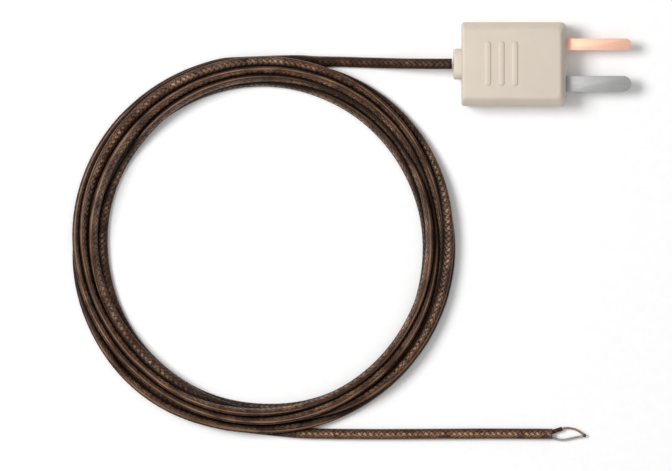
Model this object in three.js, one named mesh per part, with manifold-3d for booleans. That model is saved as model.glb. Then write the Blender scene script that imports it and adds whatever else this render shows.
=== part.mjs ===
// A thermocouple on a flat twin cable: a miniature two-blade plug, a lead-in, a round coil, a straight tail
// and a welded tip. Millimetres, +Z up. The origin is the bottom centre of the plug assembly, the blades point
// along +X, and everything lies on the plane z = 0.

import * as THREE from 'three';
import { mergeVertices } from 'three/addons/utils/BufferGeometryUtils.js';
import Module from 'manifold-3d';

const wasm = await Module();
wasm.setup();

// Plug assembly, along X: collar, body, blades.
const COLLAR_LENGTH = 1.65;
const BODY_LENGTH = 20.9;
const BLADE_LENGTH = 13.15;
const COLLAR_END = -(COLLAR_LENGTH + BODY_LENGTH + BLADE_LENGTH) / 2;
const BODY_REAR = COLLAR_END + COLLAR_LENGTH;
const BODY_FRONT = BODY_REAR + BODY_LENGTH;
const BLADE_TIP = BODY_FRONT + BLADE_LENGTH;

// Body: two shells that part at mid height, with sloping shoulders on both faces.
const BODY_WIDTH = 16.75;
const BODY_HEIGHT = 7.8;
const MID_HEIGHT = BODY_HEIGHT / 2;
const SHOULDER = {
  side: 1.3,
  front: 1.05,
  rear: 0.25,
  depth: 1.6,
  rearDepth: 0.45,
  round: 0.4,
  rearRound: 0.25,
  wallDepth: 2.3,
  steps: [0, 0.02, 0.06, 0.13, 0.24, 0.4, 0.8, 1.2, 1.4, 1.6, 1.8],
};
const CORNER_RADIUS = { front: 1.1, rear: 0.5 };
const WALL = { side: 1.35, front: 1.3, rear: 1.3, face: 1.3 };
const CAVITY_REAR = BODY_REAR + WALL.rear;
const CAVITY_FRONT = BODY_FRONT - WALL.front;
const CAVITY_HALF_WIDTH = BODY_WIDTH / 2 - WALL.side;
const FLOOR = WALL.face;
const CEILING = BODY_HEIGHT - WALL.face;

// Raised grip ribs on the cover.
const RIB = {
  count: 3,
  spacing: 2.7,
  width: 1.3,
  length: 9,
  x: -8.3,
  steps: [[-FLOOR / 2, 0], [0, 0], [0.1, 0.08], [0.16, 0.17], [0.2, 0.32]],
};

// Blades: standard spacing, widths and thickness of a miniature thermocouple plug.
const BLADE_Y = 3.95;
const BLADE_THICKNESS = 0.8;
const POSITIVE_WIDTH = 2.36;
const NEGATIVE_WIDTH = 3.18;
const BLADE_TOP = MID_HEIGHT + BLADE_THICKNESS / 2;
const BLADE_BOTTOM = MID_HEIGHT - BLADE_THICKNESS / 2;
const TAB = { width: 4.2, rear: -3.9, front: CAVITY_FRONT - 0.2, hole: 1.15 };
const BLADE_STEP = { x: BODY_FRONT + 0.05, depth: 0.03 };
const SLOT_CLEARANCE = 0.15;

// Terminal screws, M2 pan heads, each in a boss of the base.
const TERMINAL_X = -1.6;
const TERMINAL_BOSS = { radius: 2, bore: 1.1, boreFloor: 1.6 };
const TERMINAL_SCREW = { shank: 0.95, tip: 1.9, head: 1.8, headBottom: 5.1, headTop: 6.2 };
const CLAMP_WASHER = { outer: 1.9, inner: 1.1, bottom: 4.8, top: 5.1 };
const DRIVER_SLOT = { width: 0.5, depth: 0.45 };

// Cover screw between the blades, from below, in a threaded insert of the cover.
const COVER_SCREW_X = 0.9;
const COVER_SCREW = { head: 1.7, headBottom: 0.15, headTop: 1.15, shank: 0.9, tip: 6 };
const BASE_POST = { pad: 2.7, padTop: 2.3, radius: 1.5, top: 4.3, bore: 1.1, sink: 1.9, sinkDepth: 1.2 };
const COVER_POST = { radius: 2, bottom: 4.5, bore: 1.5, boreTop: 6.2 };
const INSERT = { outer: 1.35, inner: 1.05, bottom: 4.6, top: 6.1 };

// Locating pins of the base in posts of the cover, at the two rear corners.
const LOCATOR = { x: -13.3, y: 5.5, pin: 0.7, pinTop: 5, post: 1.3, hole: 0.85 };

// Ribs that hold the blades at the front and the jacket at the rear.
const BLADE_RIB = { rear: CAVITY_FRONT - 1.1, gap: 0.05, halfWidth: 2.05 };
const SADDLE = { rear: -11.9, front: -11.3, halfWidth: 2.4, clearance: 0.12 };

// Collar: a flange outside, a neck in the rear wall and a flange inside.
const COLLAR = {
  outside: {
    width: 6.15,
    height: 5.6,
    radius: 1.7,
    edge: [[0, 0.42], [0.05, 0.24], [0.15, 0.11], [0.3, 0.03], [0.45, 0], [BODY_REAR - COLLAR_END, 0]],
  },
  neck: { width: 4.4, height: 3.8, radius: 1.3 },
  inside: { width: 5.4, height: 4.8, radius: 1.3, rear: CAVITY_REAR + 0.05, front: CAVITY_REAR + 0.7 },
  hole: { width: 2.45, height: 1.75 },
};
const COLLAR_CLEARANCE = 0.15;

// Cable: two glass-braided cores side by side in one braided jacket.
const CABLE_WIDTH = 2.15;
const CABLE_THICKNESS = 1.45;
const CORE_DIAMETER = 0.85;
const WIRE_DIAMETER = 0.4;
const CABLE_Z = CABLE_THICKNESS / 2 + 0.03;
const PIECE_GAP = 0.3;
const FERRULE = { rear: -14, front: -12.1, width: 3.1, height: 2.4, clearance: 0.12 };
const JACKET_END = -10.9;
const WIRE_LOOP_RADIUS = 1.2;
const WIRE_Z = BLADE_TOP + 0.25;
const CORE_END = -4.6;

// Coil: six and a half turns in two layers, and three where they cross, held in one ring.
const COIL = { x: -56.2, y: -36.35, inner: 31, outer: 39, height: 5.3, corner: 1 };

// Route of the cable outside the coil, as points on its centreline.
const LEAD_IN_ROUTE = [
  [COLLAR_END - PIECE_GAP, 0.05, MID_HEIGHT],
  [-20.2, 0.05, MID_HEIGHT],
  [-22.4, 0.07, 3.78],
  [-24.8, 0.1, 3.38],
  [-27.4, 0.15, 2.72],
  [-30, 0.22, 1.98],
  [-32.6, 0.3, 1.34],
  [-35.2, 0.39, 0.93],
  [-37.8, 0.48, 0.78],
  [-40.7, 0.57, CABLE_Z],
];
const TAIL_ROUTE = [
  [-43.2, -74.32, CABLE_Z],
  [-38, -74.38, CABLE_Z],
  [-32, -74.4, CABLE_Z],
  [-26, -74.38, CABLE_Z],
  [-20, -74.34, CABLE_Z],
  [-14, -74.31, CABLE_Z],
  [-8, -74.3, CABLE_Z],
  [-3, -74.32, CABLE_Z],
  [2.1, -74.35, CABLE_Z],
];

// Tip: a short inner sleeve on the positive wire, then two bare wires that meet in the weld bead.
const BEAD = { x: 8.6, y: -74.65, z: CABLE_Z, radius: 0.34 };
const TIP_SLEEVE_ROUTE = [
  [2.4, -73.85, CABLE_Z],
  [3.1, -73.62, CABLE_Z],
  [4.1, -73.3, CABLE_Z],
];
const POSITIVE_TIP_ROUTE = [
  [4.4, -73.22, CABLE_Z],
  [5.3, -73.14, CABLE_Z],
  [6.6, -73.38, CABLE_Z],
  [7.6, -73.88, CABLE_Z],
  [8.2, -74.28, CABLE_Z],
];
const NEGATIVE_TIP_ROUTE = [
  [2.4, -75.22, CABLE_Z],
  [3.5, -75.5, CABLE_Z],
  [4.9, -75.44, CABLE_Z],
  [6.5, -75.1, CABLE_Z],
  [8.05, -74.8, CABLE_Z],
];

const ROUND_SEGMENTS = 24;
const OUTLINE_SEGMENTS = 6;
const COIL_SEGMENTS = 72;
const CORD_SIDES = 8;
const CUT_MARGIN = 1;

const materials = {
  plastic: new THREE.MeshStandardMaterial({ color: 0xd8ccbd, roughness: 0.55, metalness: 0 }),
  copper: new THREE.MeshStandardMaterial({ color: 0xf2b99a, roughness: 0.35, metalness: 1 }),
  nickelAlloy: new THREE.MeshStandardMaterial({ color: 0xa9aaab, roughness: 0.35, metalness: 1 }),
  steel: new THREE.MeshStandardMaterial({ color: 0xb4b5b6, roughness: 0.3, metalness: 1 }),
  brass: new THREE.MeshStandardMaterial({ color: 0xc9a557, roughness: 0.35, metalness: 1 }),
  braid: new THREE.MeshStandardMaterial({ color: 0x4b372d, roughness: 0.6, metalness: 0 }),
  whiteBraid: new THREE.MeshStandardMaterial({ color: 0xe4dfd3, roughness: 0.7, metalness: 0 }),
  weld: new THREE.MeshStandardMaterial({ color: 0x4a4643, roughness: 0.5, metalness: 0.8 }),
};

// A three.js geometry as a manifold solid, its shared corners merged.
function toSolid(geometry) {
  const bare = geometry.clone();
  bare.deleteAttribute('normal');
  bare.deleteAttribute('uv');
  const merged = mergeVertices(bare, 1e-5);
  const mesh = new wasm.Mesh({
    numProp: 3,
    vertProperties: new Float32Array(merged.attributes.position.array),
    triVerts: new Uint32Array(merged.index.array),
  });
  return new wasm.Manifold(mesh);
}

// A manifold solid as a three.js geometry.
function toGeometry(solid) {
  const mesh = solid.getMesh();
  const geometry = new THREE.BufferGeometry();
  geometry.setAttribute('position', new THREE.BufferAttribute(mesh.vertProperties, 3));
  geometry.setIndex(new THREE.BufferAttribute(mesh.triVerts, 1));
  geometry.computeVertexNormals();
  return geometry;
}

// A box between two corners, as a solid.
function block([x0, y0, z0], [x1, y1, z1]) {
  const geometry = new THREE.BoxGeometry(x1 - x0, y1 - y0, z1 - z0);
  geometry.translate((x0 + x1) / 2, (y0 + y1) / 2, (z0 + z1) / 2);
  return toSolid(geometry);
}

// An upright cylinder, as a solid.
function post(x, y, radius, bottom, top) {
  const geometry = new THREE.CylinderGeometry(radius, radius, top - bottom, ROUND_SEGMENTS);
  geometry.rotateX(Math.PI / 2);
  geometry.translate(x, y, (bottom + top) / 2);
  return toSolid(geometry);
}

// A shape drawn in XY and raised along Z.
function upright(shape, bottom, top) {
  const geometry = new THREE.ExtrudeGeometry(shape, { depth: top - bottom, bevelEnabled: false, curveSegments: 6 });
  geometry.translate(0, 0, bottom);
  return toSolid(geometry);
}

// A shape drawn in YZ and run along X.
function alongX(shape, start, end) {
  const geometry = new THREE.ExtrudeGeometry(shape, { depth: end - start, bevelEnabled: false, curveSegments: 6 });
  geometry.rotateX(Math.PI / 2);
  geometry.rotateZ(Math.PI / 2);
  geometry.translate(start, 0, 0);
  return toSolid(geometry);
}

// A closed outline from corner points.
function outline(points) {
  return new THREE.Shape(points.map(([x, y]) => new THREE.Vector2(x, y)));
}

// A rectangle with one corner radius on its left and one on its right.
function roundedRectangle(left, right, bottom, top, leftRadius, rightRadius) {
  const quarter = Math.PI / 2;
  const shape = new THREE.Shape();
  shape.moveTo(left + leftRadius, bottom);
  shape.lineTo(right - rightRadius, bottom);
  shape.absarc(right - rightRadius, bottom + rightRadius, rightRadius, -quarter, 0, false);
  shape.lineTo(right, top - rightRadius);
  shape.absarc(right - rightRadius, top - rightRadius, rightRadius, 0, quarter, false);
  shape.lineTo(left + leftRadius, top);
  shape.absarc(left + leftRadius, top - leftRadius, leftRadius, quarter, 2 * quarter, false);
  shape.lineTo(left, bottom + leftRadius);
  shape.absarc(left + leftRadius, bottom + leftRadius, leftRadius, 2 * quarter, 3 * quarter, false);
  return shape;
}

// A rounded rectangle about the cable's axis, in YZ.
function aroundCable(width, height, radius) {
  const low = MID_HEIGHT - height / 2;
  return roundedRectangle(-width / 2, width / 2, low, low + height, radius, radius);
}

// An oval with a few flat sides, as wide and high as stated.
function ovalPoints(width, height, sides, centreY = 0) {
  const points = [];
  const half = Math.PI / sides;
  for (let i = 0; i < sides; i += 1) {
    const angle = half + 2 * half * i;
    const across = (width / 2) * Math.cos(angle) / Math.cos(half);
    const up = (height / 2) * Math.sin(angle) / Math.cos(half);
    points.push([across, centreY + up]);
  }
  return points;
}

// A smooth path whose cross-section stays level: its width is horizontal all the way.
class LevelPath extends THREE.CatmullRomCurve3 {
  computeFrenetFrames(steps) {
    const frames = { tangents: [], normals: [], binormals: [] };
    for (let i = 0; i <= steps; i += 1) {
      const tangent = this.getTangentAt(i / steps);
      const side = new THREE.Vector3(0, 0, 1).cross(tangent).normalize();
      frames.tangents.push(tangent);
      frames.normals.push(side);
      frames.binormals.push(new THREE.Vector3().crossVectors(tangent, side));
    }
    return frames;
  }
}

// A tube of an oval section along a route.
function tube(route, width, height, steps) {
  const path = new LevelPath(route.map((point) => new THREE.Vector3(...point)), false, 'centripetal');
  const section = outline(ovalPoints(width, height, CORD_SIDES));
  return new THREE.ExtrudeGeometry(section, { steps, extrudePath: path, curveSegments: 1 });
}

// A convex solid around outlines at several heights. Each level is a height and a shape in XY.
function stacked(levels) {
  const points = [];
  for (const { height, shape } of levels) {
    for (const { x, y } of shape.getPoints(OUTLINE_SEGMENTS)) {
      points.push([x, y, height]);
    }
  }
  return wasm.Manifold.hull(points);
}

// How far a wall stands in at a depth below a face: a sloping shoulder whose two edges are rounded.
function shoulderInset(depth, width, rise, round) {
  const slope = width * (1 - depth / rise);
  const soft = (slope + Math.hypot(slope, round / 2)) / 2;
  const turn = Math.max(0, 1 - depth / round);
  return soft + round * (1 - Math.sqrt(1 - turn * turn));
}

// The plug body's outline at a depth below its upper or lower face.
function bodyOutline(depth) {
  const side = BODY_WIDTH / 2 - shoulderInset(depth, SHOULDER.side, SHOULDER.depth, SHOULDER.round);
  const front = BODY_FRONT - shoulderInset(depth, SHOULDER.front, SHOULDER.depth, SHOULDER.round);
  const rear = BODY_REAR + shoulderInset(depth, SHOULDER.rear, SHOULDER.rearDepth, SHOULDER.rearRound);
  return roundedRectangle(rear, front, -side, side, CORNER_RADIUS.rear, CORNER_RADIUS.front);
}

// The plug body's outside before it is parted and hollowed.
function bodyBlank() {
  const half = BODY_WIDTH / 2;
  const waist = roundedRectangle(BODY_REAR, BODY_FRONT, -half, half, CORNER_RADIUS.rear, CORNER_RADIUS.front);
  const levels = [
    { height: SHOULDER.wallDepth, shape: waist },
    { height: BODY_HEIGHT - SHOULDER.wallDepth, shape: waist },
  ];
  for (const depth of SHOULDER.steps) {
    const shape = bodyOutline(depth);
    levels.push({ height: depth, shape }, { height: BODY_HEIGHT - depth, shape });
  }
  return stacked(levels);
}

// One half of the hollow body, between two heights, with its blade slots and collar opening.
function shell(bottom, top) {
  const reach = BODY_WIDTH;
  const half = block([BODY_REAR - CUT_MARGIN, -reach, bottom], [BODY_FRONT + CUT_MARGIN, reach, top]);
  const cavity = block(
    [CAVITY_REAR, -CAVITY_HALF_WIDTH, FLOOR],
    [CAVITY_FRONT, CAVITY_HALF_WIDTH, CEILING],
  );
  const neck = COLLAR.neck;
  const collarOpening = alongX(
    aroundCable(
      neck.width + 2 * COLLAR_CLEARANCE,
      neck.height + 2 * COLLAR_CLEARANCE,
      neck.radius + COLLAR_CLEARANCE,
    ),
    BODY_REAR - CUT_MARGIN,
    CAVITY_REAR + CUT_MARGIN,
  );
  return bodyBlank()
    .intersect(half)
    .subtract(cavity)
    .subtract(collarOpening)
    .subtract(bladeSlot(BLADE_Y, POSITIVE_WIDTH))
    .subtract(bladeSlot(-BLADE_Y, NEGATIVE_WIDTH));
}

function bladeSlot(y, width) {
  const halfWidth = width / 2 + SLOT_CLEARANCE;
  return block(
    [CAVITY_FRONT - CUT_MARGIN, y - halfWidth, BLADE_BOTTOM - SLOT_CLEARANCE],
    [BODY_FRONT + CUT_MARGIN, y + halfWidth, BLADE_TOP + SLOT_CLEARANCE],
  );
}

// A rib across one blade tab, just inside the front wall.
function bladeRib(y, bottom, top) {
  return block(
    [BLADE_RIB.rear, y - BLADE_RIB.halfWidth, bottom],
    [CAVITY_FRONT + CUT_MARGIN / 2, y + BLADE_RIB.halfWidth, top],
  );
}

// Lower shell: terminal bosses, screw post with its sunk head, locating pins, ribs and the jacket's saddle.
function plugBase() {
  const below = FLOOR / 2;
  let solid = shell(0, MID_HEIGHT);
  for (const side of [-1, 1]) {
    const y = side * BLADE_Y;
    solid = solid
      .add(post(TERMINAL_X, y, TERMINAL_BOSS.radius, below, BLADE_BOTTOM))
      .subtract(post(TERMINAL_X, y, TERMINAL_BOSS.bore, TERMINAL_BOSS.boreFloor, BODY_HEIGHT))
      .add(bladeRib(y, below, BLADE_BOTTOM - BLADE_RIB.gap))
      .add(post(LOCATOR.x, side * LOCATOR.y, LOCATOR.post, below, MID_HEIGHT))
      .add(post(LOCATOR.x, side * LOCATOR.y, LOCATOR.pin, below, LOCATOR.pinTop));
  }
  const notch = CABLE_WIDTH / 2 + SADDLE.clearance;
  const saddle = block([SADDLE.rear, -SADDLE.halfWidth, below], [SADDLE.front, SADDLE.halfWidth, MID_HEIGHT]);
  const jacketNotch = block(
    [SADDLE.rear - CUT_MARGIN, -notch, MID_HEIGHT - CABLE_THICKNESS / 2 - SADDLE.clearance],
    [SADDLE.front + CUT_MARGIN, notch, BODY_HEIGHT],
  );
  return solid
    .add(saddle.subtract(jacketNotch))
    .add(post(COVER_SCREW_X, 0, BASE_POST.pad, below, BASE_POST.padTop))
    .add(post(COVER_SCREW_X, 0, BASE_POST.radius, below, BASE_POST.top))
    .subtract(post(COVER_SCREW_X, 0, BASE_POST.bore, -CUT_MARGIN, BODY_HEIGHT))
    .subtract(post(COVER_SCREW_X, 0, BASE_POST.sink, -CUT_MARGIN, BASE_POST.sinkDepth));
}

// Upper shell: post for the threaded insert, locating posts, ribs over blades and jacket, and the grip ribs.
function plugCover() {
  const above = BODY_HEIGHT - FLOOR / 2;
  let solid = shell(MID_HEIGHT, BODY_HEIGHT);
  for (const side of [-1, 1]) {
    const y = side * LOCATOR.y;
    solid = solid
      .add(bladeRib(side * BLADE_Y, BLADE_TOP + BLADE_RIB.gap, above))
      .add(post(LOCATOR.x, y, LOCATOR.post, MID_HEIGHT, above))
      .subtract(post(LOCATOR.x, y, LOCATOR.hole, 0, LOCATOR.pinTop + COLLAR_CLEARANCE));
  }
  const overJacket = MID_HEIGHT + CABLE_THICKNESS / 2 + SADDLE.clearance;
  solid = solid
    .add(block([SADDLE.rear, -SADDLE.halfWidth, overJacket], [SADDLE.front, SADDLE.halfWidth, above]))
    .add(post(COVER_SCREW_X, 0, COVER_POST.radius, COVER_POST.bottom, above))
    .subtract(post(COVER_SCREW_X, 0, COVER_POST.bore, 0, COVER_POST.boreTop));
  for (let i = 0; i < RIB.count; i += 1) {
    solid = solid.add(gripRib(RIB.x + (i - (RIB.count - 1) / 2) * RIB.spacing));
  }
  return solid;
}

// A rib with soft sides: its outline steps in towards the top.
function gripRib(x) {
  const levels = RIB.steps.map(([rise, inset]) => {
    const radius = RIB.width / 2 - inset;
    const reach = RIB.length / 2 - inset;
    return { height: BODY_HEIGHT + rise, shape: roundedRectangle(x - radius, x + radius, -reach, reach, radius, radius) };
  });
  return stacked(levels);
}

// The collar that the cable leaves through.
function cableCollar() {
  const { outside, neck, inside, hole } = COLLAR;
  return collarFlange(outside)
    .add(alongX(aroundCable(neck.width, neck.height, neck.radius), BODY_REAR, inside.front))
    .add(alongX(aroundCable(inside.width, inside.height, inside.radius), inside.rear, inside.front))
    .subtract(
      alongX(
        outline(ovalPoints(hole.width, hole.height, CORD_SIDES, MID_HEIGHT)),
        COLLAR_END - CUT_MARGIN,
        inside.front + CUT_MARGIN,
      ),
    );
}

// The collar's outside flange, with its rear edge rounded. Its levels are stacked along Z and then laid along X.
function collarFlange({ width, height, radius, edge }) {
  const levels = edge.map(([x, inset]) => ({
    height: x,
    shape: roundedRectangle(
      inset - width / 2,
      width / 2 - inset,
      inset - height / 2,
      height / 2 - inset,
      radius,
      radius,
    ),
  }));
  return stacked(levels).rotate([90, 0, 90]).translate([COLLAR_END, 0, MID_HEIGHT]);
}

// The oval sleeve crimped on the jacket behind the collar.
function crimpFerrule() {
  const { rear, front, width, height, clearance } = FERRULE;
  const bore = outline(
    ovalPoints(CABLE_WIDTH + 2 * clearance, CABLE_THICKNESS + 2 * clearance, CORD_SIDES, MID_HEIGHT),
  );
  return alongX(outline(ovalPoints(width, height, CORD_SIDES, MID_HEIGHT)), rear, front)
    .subtract(alongX(bore, rear - CUT_MARGIN, front + CUT_MARGIN));
}

// A blade with a round tip outside and a wider drilled tab inside. The tab's upper face is a hair lower than
// the contact face, which starts just in front of the body.
function blade(y, width) {
  const radius = width / 2;
  const shape = new THREE.Shape();
  shape.moveTo(TAB.rear, y - TAB.width / 2);
  shape.lineTo(TAB.front, y - TAB.width / 2);
  shape.lineTo(TAB.front, y - radius);
  shape.lineTo(BLADE_TIP - radius, y - radius);
  shape.absarc(BLADE_TIP - radius, y, radius, -Math.PI / 2, Math.PI / 2, false);
  shape.lineTo(TAB.front, y + radius);
  shape.lineTo(TAB.front, y + TAB.width / 2);
  shape.lineTo(TAB.rear, y + TAB.width / 2);
  const overTab = block(
    [TAB.rear - CUT_MARGIN, y - TAB.width, BLADE_TOP - BLADE_STEP.depth],
    [BLADE_STEP.x, y + TAB.width, BLADE_TOP + CUT_MARGIN],
  );
  return upright(shape, BLADE_BOTTOM, BLADE_TOP)
    .subtract(post(TERMINAL_X, y, TAB.hole, 0, BODY_HEIGHT))
    .subtract(overTab);
}

// A pan head screw with a straight driver slot, head up.
function terminalScrew(y) {
  const { shank, tip, head, headBottom, headTop } = TERMINAL_SCREW;
  const slot = block(
    [TERMINAL_X - head - CUT_MARGIN, y - DRIVER_SLOT.width / 2, headTop - DRIVER_SLOT.depth],
    [TERMINAL_X + head + CUT_MARGIN, y + DRIVER_SLOT.width / 2, headTop + CUT_MARGIN],
  );
  return post(TERMINAL_X, y, shank, tip, headBottom + DRIVER_SLOT.depth)
    .add(post(TERMINAL_X, y, head, headBottom, headTop))
    .subtract(slot);
}

// The cover screw, head down in its sunk seat.
function coverScrew() {
  const { head, headBottom, headTop, shank, tip } = COVER_SCREW;
  const slot = block(
    [COVER_SCREW_X - head - CUT_MARGIN, -DRIVER_SLOT.width / 2, headBottom - CUT_MARGIN],
    [COVER_SCREW_X + head + CUT_MARGIN, DRIVER_SLOT.width / 2, headBottom + DRIVER_SLOT.depth],
  );
  return post(COVER_SCREW_X, 0, head, headBottom, headTop)
    .add(post(COVER_SCREW_X, 0, shank, headTop - DRIVER_SLOT.depth / 2, tip))
    .subtract(slot);
}

// A flat ring: a washer or an insert.
function ring(x, y, outer, inner, bottom, top) {
  return post(x, y, outer, bottom, top).subtract(post(x, y, inner, bottom - CUT_MARGIN, top + CUT_MARGIN));
}

// One insulated core, from the jacket's end to its terminal. side is +1 or -1.
function plugCore(side) {
  const loopY = side * (BLADE_Y - WIRE_LOOP_RADIUS);
  const route = [
    [JACKET_END + PIECE_GAP, side * (CORE_DIAMETER / 2 + 0.05), MID_HEIGHT],
    [JACKET_END + 1.2, side * (CORE_DIAMETER / 2 + 0.1), MID_HEIGHT],
    [-8.2, side * 1.25, 4.2],
    [-6.4, side * 2.35, 4.45],
    [CORE_END, loopY, WIRE_Z],
  ];
  return tube(route, CORE_DIAMETER, CORE_DIAMETER, 14);
}

// A bare wire that runs up to its terminal screw and hooks round it.
function plugWire(side) {
  const route = [[CORE_END + PIECE_GAP, side * (BLADE_Y - WIRE_LOOP_RADIUS), WIRE_Z]];
  const loopPoints = 12;
  const loopAngle = 1.25 * Math.PI;
  for (let i = 0; i <= loopPoints; i += 1) {
    const angle = -Math.PI / 2 + (loopAngle * i) / loopPoints;
    route.push([
      TERMINAL_X + WIRE_LOOP_RADIUS * Math.cos(angle),
      side * (BLADE_Y + WIRE_LOOP_RADIUS * Math.sin(angle)),
      WIRE_Z,
    ]);
  }
  return tube(route, WIRE_DIAMETER, WIRE_DIAMETER, 30);
}

// The coil's outer shape: a flat ring with eased corners.
function cableCoil() {
  const { inner, outer, height, corner } = COIL;
  const profile = [
    [inner + corner, 0],
    [outer - corner, 0],
    [outer, corner],
    [outer, height - corner],
    [outer - corner, height],
    [inner + corner, height],
    [inner, height - corner],
    [inner, corner],
    [inner + corner, 0],
  ];
  const geometry = new THREE.LatheGeometry(profile.map(([r, z]) => new THREE.Vector2(r, z)), COIL_SEGMENTS);
  geometry.rotateX(Math.PI / 2);
  return geometry;
}

const thermocouple = new THREE.Group();

// Adds one named sub-part, from a solid or from a geometry.
function place(name, shape, material, parent = thermocouple) {
  const geometry = shape.isBufferGeometry ? shape : toGeometry(shape);
  const mesh = new THREE.Mesh(geometry, material);
  mesh.name = name;
  parent.add(mesh);
  return mesh;
}

function placePlug() {
  const cableEnd = outline(ovalPoints(CABLE_WIDTH, CABLE_THICKNESS, CORD_SIDES, MID_HEIGHT));
  place('plug_base', plugBase(), materials.plastic);
  place('plug_cover', plugCover(), materials.plastic);
  place('cable_collar', cableCollar(), materials.plastic);
  place('crimp_ferrule', crimpFerrule(), materials.brass);
  place('cable_end_in_plug', alongX(cableEnd, COLLAR_END, JACKET_END), materials.braid);
  place('cover_screw', coverScrew(), materials.steel);
  place(
    'threaded_insert',
    ring(COVER_SCREW_X, 0, INSERT.outer, INSERT.inner, INSERT.bottom, INSERT.top),
    materials.brass,
  );
}

// The blade, screw, washer, core and wire of one pole.
function placePole(name, side, bladeWidth, metal, insulation) {
  const y = side * BLADE_Y;
  const { outer, inner, bottom, top } = CLAMP_WASHER;
  place(`${name}_blade`, blade(y, bladeWidth), metal);
  place(`${name}_terminal_screw`, terminalScrew(y), materials.steel);
  place(`${name}_clamp_washer`, ring(TERMINAL_X, y, outer, inner, bottom, top), materials.steel);
  place(`${name}_core_in_plug`, plugCore(side), insulation);
  place(`${name}_wire_in_plug`, plugWire(side), metal);
}

function placeCable() {
  place('lead_in_cable', tube(LEAD_IN_ROUTE, CABLE_WIDTH, CABLE_THICKNESS, 10), materials.braid);
  const coil = place('cable_coil', cableCoil(), materials.braid);
  coil.position.set(COIL.x, COIL.y, 0);
  place('cable_tail', tube(TAIL_ROUTE, CABLE_WIDTH, CABLE_THICKNESS, 12), materials.braid);
}

function placeTip() {
  place('positive_tip_sleeve', tube(TIP_SLEEVE_ROUTE, CORE_DIAMETER, CORE_DIAMETER, 4), materials.braid);
  place('positive_tip_wire', tube(POSITIVE_TIP_ROUTE, WIRE_DIAMETER, WIRE_DIAMETER, 10), materials.copper);
  place('negative_tip_wire', tube(NEGATIVE_TIP_ROUTE, WIRE_DIAMETER, WIRE_DIAMETER, 12), materials.nickelAlloy);
  const bead = place('measuring_junction', new THREE.SphereGeometry(BEAD.radius, 12, 8), materials.weld);
  bead.position.set(BEAD.x, BEAD.y, BEAD.z);
}

placePlug();
placePole('positive', 1, POSITIVE_WIDTH, materials.copper, materials.braid);
placePole('negative', -1, NEGATIVE_WIDTH, materials.nickelAlloy, materials.whiteBraid);
placeCable();
placeTip();

export default thermocouple;
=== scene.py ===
"""Looks of the thermocouple: its cable, plug, metal parts and studio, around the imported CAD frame.

The frame of the CAD, +Z up. Lengths are millimetres, except where a comment says metres, and are multiplied
by MM where they reach Blender. Colours are linear red, green and blue.
"""

import math

import bmesh
import bpy
import numpy as np
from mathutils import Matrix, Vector
from mathutils.kdtree import KDTree


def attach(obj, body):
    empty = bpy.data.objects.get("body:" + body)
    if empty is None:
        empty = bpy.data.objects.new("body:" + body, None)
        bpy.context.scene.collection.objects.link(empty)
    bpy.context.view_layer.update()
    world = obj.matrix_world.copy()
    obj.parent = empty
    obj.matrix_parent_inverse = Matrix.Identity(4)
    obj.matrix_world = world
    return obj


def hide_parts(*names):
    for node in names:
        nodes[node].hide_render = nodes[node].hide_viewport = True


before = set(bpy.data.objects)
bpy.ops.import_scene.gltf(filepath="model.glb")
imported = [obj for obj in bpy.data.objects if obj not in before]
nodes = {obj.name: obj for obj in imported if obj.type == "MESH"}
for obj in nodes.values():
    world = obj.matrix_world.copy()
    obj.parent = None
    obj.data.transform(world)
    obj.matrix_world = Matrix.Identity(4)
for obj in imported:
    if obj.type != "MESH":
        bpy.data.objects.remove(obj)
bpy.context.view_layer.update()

MM = 0.001

# Cable: two glass-braided cores side by side in one braided jacket. Its section is an oval, squared off
# across and upwards by SECTION_POWERS. Its faces, where the sine is over FACES_FROM, dip between the cores.
CABLE_WIDTH = 2.15
CABLE_THICKNESS = 1.45
SECTION_POINTS = 24
SECTION_POWERS = (0.8, 0.82)
FACES_FROM = 0.1
WAIST_DEPTH = 0.05
WAIST_WIDTH = 0.3
POINT_SPACING = 0.4

# What the cable keeps free above the floor: while it settles, and at the least.
FLOOR_GAP = 0.03
LEAST_FLOOR_GAP = 0.02
CABLE_Z = CABLE_THICKNESS / 2 + FLOOR_GAP

# Thickness varies a little along the cable, as a smoothed random share.
WOBBLE_SEED = 7
WOBBLE_SMOOTHINGS = 30
WOBBLE_SHARE = 0.012

# Crevice shade, painted into the cable's colour: a spot is darkest where another turn's centreline is as near
# as the first distance below, and clear at the second. A turn that passes overhead casts it further, by up to
# the third. The cable's own stretch on either side of a spot, OWN_STRETCH long, doesn't count.
CREVICE_SHADE_NEAR = 0.95
CREVICE_SHADE_FAR = 1.85
OVERHEAD_SHADE_REACH = 0.8
OWN_STRETCH = 8.0

# Wear and painted highlight: the lead-in shows few light, worn and lit ribbons, and the last stretch before
# the cut shows them all along. At the cut itself the braid is greyer.
LEAD_IN_LENGTH = 38.0
WORN_AND_LIT_END_LENGTH = 66.0
WORN_AND_LIT_END_FADE = 5.0
GREY_END_LENGTH = 1.5
GREY_END_FADE = 1.0

# Bare tip: the core's sleeve, the two wires and the weld bead, with its subdivisions and the share by which it
# is drawn out towards the wires.
CORE_DIAMETER = 0.85
WIRE_DIAMETER = 0.4
WIRE_SIDES = 12
SLEEVE_SPACING = 0.08
WIRE_SPACING = 0.06
BEAD_RADIUS = 0.34
BEAD_DETAIL = 4
BEAD_NECK = 0.12

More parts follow.
